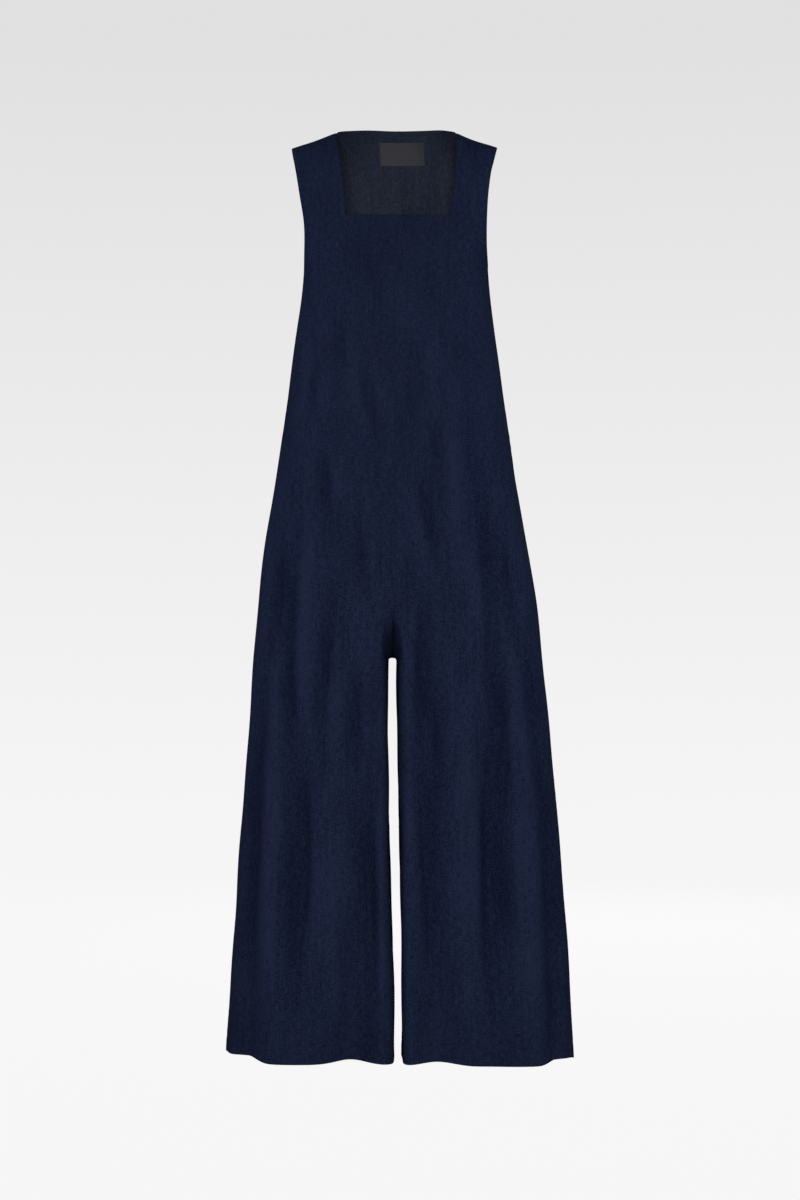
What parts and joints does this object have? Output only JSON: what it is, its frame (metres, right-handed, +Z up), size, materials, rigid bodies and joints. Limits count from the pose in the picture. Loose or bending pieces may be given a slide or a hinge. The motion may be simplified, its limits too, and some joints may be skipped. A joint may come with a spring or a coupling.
{
  "type": "jumpsuit",
  "caption": "Sleeveless wide-legged navy jumpsuit with a square front neck, hollow and hanging in the shape it has when worn.",
  "frame": {"origin": "midway between the two neck points of the shoulder seams, where the wearer's shoulders carry the garment", "axes": "+Z up, along the garment's length; the front faces -Y; +X is the wearer's left"},
  "size_m": [0.5458, 0.236, 1.4525],
  "materials": {
    "navy_cloth": "matte navy woven cloth with a fine slub",
    "charcoal_facing": "matte charcoal plain-woven facing",
    "label_cloth": "dense satin-woven tape"
  },
  "bodies": {
    "root": {"front_left": "navy_cloth", "front_right": "navy_cloth", "back_left": "navy_cloth", "back_right": "navy_cloth", "back_facing_left": "charcoal_facing", "back_facing_right": "charcoal_facing", "label": "label_cloth"}
  },
  "joints": []
}
